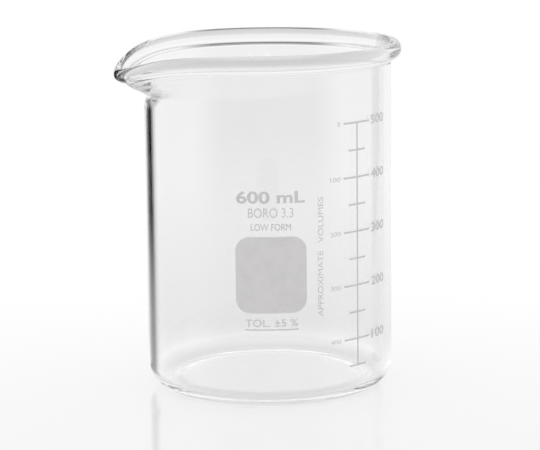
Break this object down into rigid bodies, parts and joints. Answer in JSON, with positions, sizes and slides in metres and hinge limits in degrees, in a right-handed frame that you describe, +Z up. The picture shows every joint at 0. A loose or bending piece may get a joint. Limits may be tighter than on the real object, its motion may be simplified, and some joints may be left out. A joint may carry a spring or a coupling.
{
  "type": "laboratory beaker",
  "caption": "Low-form glass beaker with a beaded rim, a pouring spout and a printed volume scale, for holding, mixing and pouring liquids.",
  "frame": {"origin": "centre of the base's underside, on the surface the beaker stands on", "axes": "+Z up along the beaker's axis; the spout pours towards -X; the capacity block faces -Y within 9 degrees"},
  "size_m": [0.1012, 0.0958, 0.1222],
  "materials": {
    "borosilicate_glass": "clear, fire-polished, colourless",
    "fired_enamel": "white enamel, screen printed and fired, satin",
    "fired_enamel_figures": "white enamel, screen printed and fired, satin",
    "fired_enamel_captions": "white enamel, screen printed and fired, satin",
    "fired_enamel_capacity": "white enamel, screen printed and fired, satin",
    "fired_enamel_spot": "white enamel, screen printed and fired, matt enough to take pencil"
  },
  "bodies": {
    "root": {"glass_body": "borosilicate_glass", "graduation_scale": "fired_enamel", "contents_100": "fired_enamel_figures", "contents_200": "fired_enamel_figures", "contents_300": "fired_enamel_figures", "contents_400": "fired_enamel_figures", "contents_500": "fired_enamel_figures", "poured_0": "fired_enamel_figures", "poured_100": "fired_enamel_figures", "poured_200": "fired_enamel_figures", "poured_300": "fired_enamel_figures", "poured_400": "fired_enamel_figures", "caption_approximate": "fired_enamel_captions", "caption_volumes": "fired_enamel_captions", "capacity_mark": "fired_enamel_capacity", "glass_type_line": "fired_enamel_captions", "form_line": "fired_enamel_captions", "marking_spot": "fired_enamel_spot", "tolerance_line": "fired_enamel_captions", "tolerance_underline": "fired_enamel_captions"}
  },
  "joints": []
}
